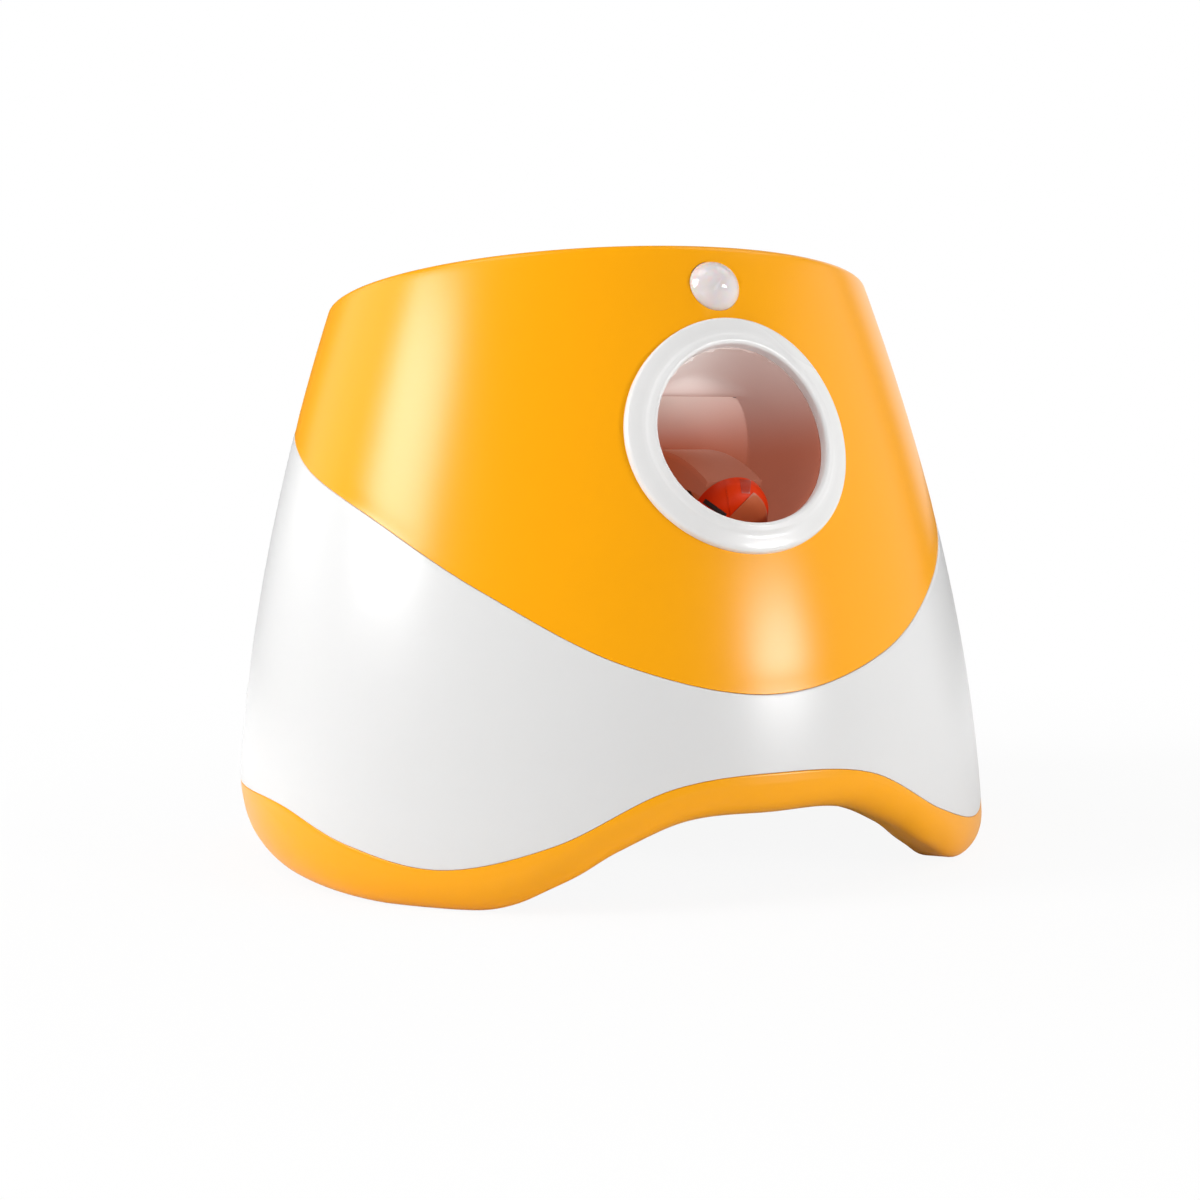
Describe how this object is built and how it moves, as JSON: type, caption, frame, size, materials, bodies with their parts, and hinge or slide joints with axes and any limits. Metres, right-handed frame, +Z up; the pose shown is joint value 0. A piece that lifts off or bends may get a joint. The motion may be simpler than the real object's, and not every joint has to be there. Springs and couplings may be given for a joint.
{
  "type": "automatic dog ball launcher",
  "caption": "Rounded free-standing ball launcher for dogs: ball bowl on top, tilted launch tube with a sprung striker arm, geared motor, rear key panel.",
  "frame": {"origin": "on the floor, on the axis of the round body", "axes": "+Z up, -Y the throwing direction (front), +X to the right seen from the front"},
  "size_m": [0.2544, 0.2536, 0.1904],
  "materials": {
    "orange_shell": "glossy moulded ABS, yellow-orange",
    "white_shell": "glossy moulded ABS, white",
    "bowl_orange": "satin moulded ABS, yellow-orange",
    "ring_white": "satin white moulded ring",
    "tube_white": "satin white moulded tube",
    "lens_milk": "milky moulded lens",
    "striker_red": "red-orange moulded nylon",
    "gate_white": "white moulded plate",
    "pan_dark": "light grey moulded pan",
    "frame_grey": "grey moulded frame",
    "gear_white": "natural acetal",
    "steel": "ground steel",
    "spring_steel": "oiled spring wire",
    "brass": "sintered bush",
    "magnet": "ferrite",
    "copper": "laminations and windings",
    "rubber_black": "soft rubber",
    "rubber_grey": "soft rubber foot",
    "board_green": "printed circuit board",
    "cell_wrap": "shrink wrap",
    "strap_black": "elastic strap",
    "panel_grey": "dark grey panel",
    "button_orange": "moulded button",
    "button_white": "moulded button",
    "light_green": "tinted light",
    "lead_red": "insulated lead",
    "black_plastic": "black plastic"
  },
  "bodies": {
    "casing": {"upper_shell": "orange_shell", "waist_shell": "white_shell", "base_skirt": "orange_shell", "port_bezel": "ring_white", "hopper_rim": "orange_shell", "hopper_bowl": "bowl_orange", "launch_tube": "tube_white", "sensor_lens": "lens_milk", "sensor_can": "steel", "sensor_board": "board_green", "base_pan": "pan_dark", "case_screws": "steel", "foot_pads": "rubber_grey", "left_plate": "frame_grey", "right_plate": "frame_grey", "gearbox_plate": "frame_grey", "gearbox_pillars": "brass", "pillar_screws": "steel", "shaft_bush_left": "brass", "shaft_bush_right": "brass", "gear_bushes": "brass", "striker_spring_left": "spring_steel", "striker_spring_right": "spring_steel", "stop_buffer": "rubber_black", "stop_bar": "frame_grey", "motor_can": "steel", "motor_magnets": "magnet", "motor_endcap": "black_plastic", "battery_cells": "cell_wrap", "battery_cradle": "frame_grey", "battery_strap": "strap_black", "battery_door": "pan_dark", "door_screw": "steel", "main_board": "board_green", "board_screws": "steel", "buzzer": "black_plastic", "beam_sender": "black_plastic", "beam_receiver": "black_plastic", "control_panel": "panel_grey", "panel_board": "board_green", "status_lights": "light_green", "power_jack": "black_plastic", "motor_leads": "lead_red", "battery_leads": "lead_red"},
    "striker": {"striker_arm": "striker_red", "striker_pad": "rubber_black", "ball_gate": "gate_white", "striker_shaft": "steel", "sector_gear": "gear_white"},
    "drive_shaft": {"drive_gear": "gear_white", "drive_axle": "steel"},
    "idler_shaft": {"idler_gear": "gear_white", "idler_axle": "steel"},
    "motor_armature": {"motor_pinion": "brass", "motor_rotor": "copper", "motor_shaft": "steel"},
    "power_key": {"power_button": "button_orange"},
    "distance_key": {"distance_button": "button_white"}
  },
  "joints": [
    {"name": "striker_swing", "type": "hinge", "parent": "casing", "child": "striker", "pos_m": [0, -0.059, 0.05], "axis": [-1, 0, 0], "range_deg": [0, 70], "stiffness_Nm_per_rad": 0.6, "springref_deg": -20.05, "deforming": ["striker_spring_left", "striker_spring_right"]},
    {"name": "drive_gear_spin", "type": "hinge", "parent": "casing", "child": "drive_shaft", "pos_m": [0, -0.014, 0.05], "axis": [1, 0, 0], "range_deg": [0, 140]},
    {"name": "idler_gear_spin", "type": "hinge", "parent": "casing", "child": "idler_shaft", "pos_m": [0, 0.01842, 0.0618], "axis": [-1, 0, 0], "range_deg": [0, 504]},
    {"name": "motor_spin", "type": "hinge", "parent": "casing", "child": "motor_armature", "pos_m": [0, 0.03042, 0.04102], "axis": [1, 0, 0], "range_deg": [0, 2016]},
    {"name": "power_press", "type": "slide", "parent": "casing", "child": "power_key", "axis": [0, -0.9775, -0.211], "range_m": [0, 0.0015], "stiffness_N_per_m": 400, "springref_m": -0.001},
    {"name": "distance_press", "type": "slide", "parent": "casing", "child": "distance_key", "axis": [0, -0.9775, -0.211], "range_m": [0, 0.0015], "stiffness_N_per_m": 400, "springref_m": -0.001}
  ],
  "couplings": [
    {"joint": "drive_gear_spin", "follows": "striker_swing", "ratio": 2},
    {"joint": "idler_gear_spin", "follows": "striker_swing", "ratio": 7.2},
    {"joint": "motor_spin", "follows": "striker_swing", "ratio": 28.8}
  ]
}
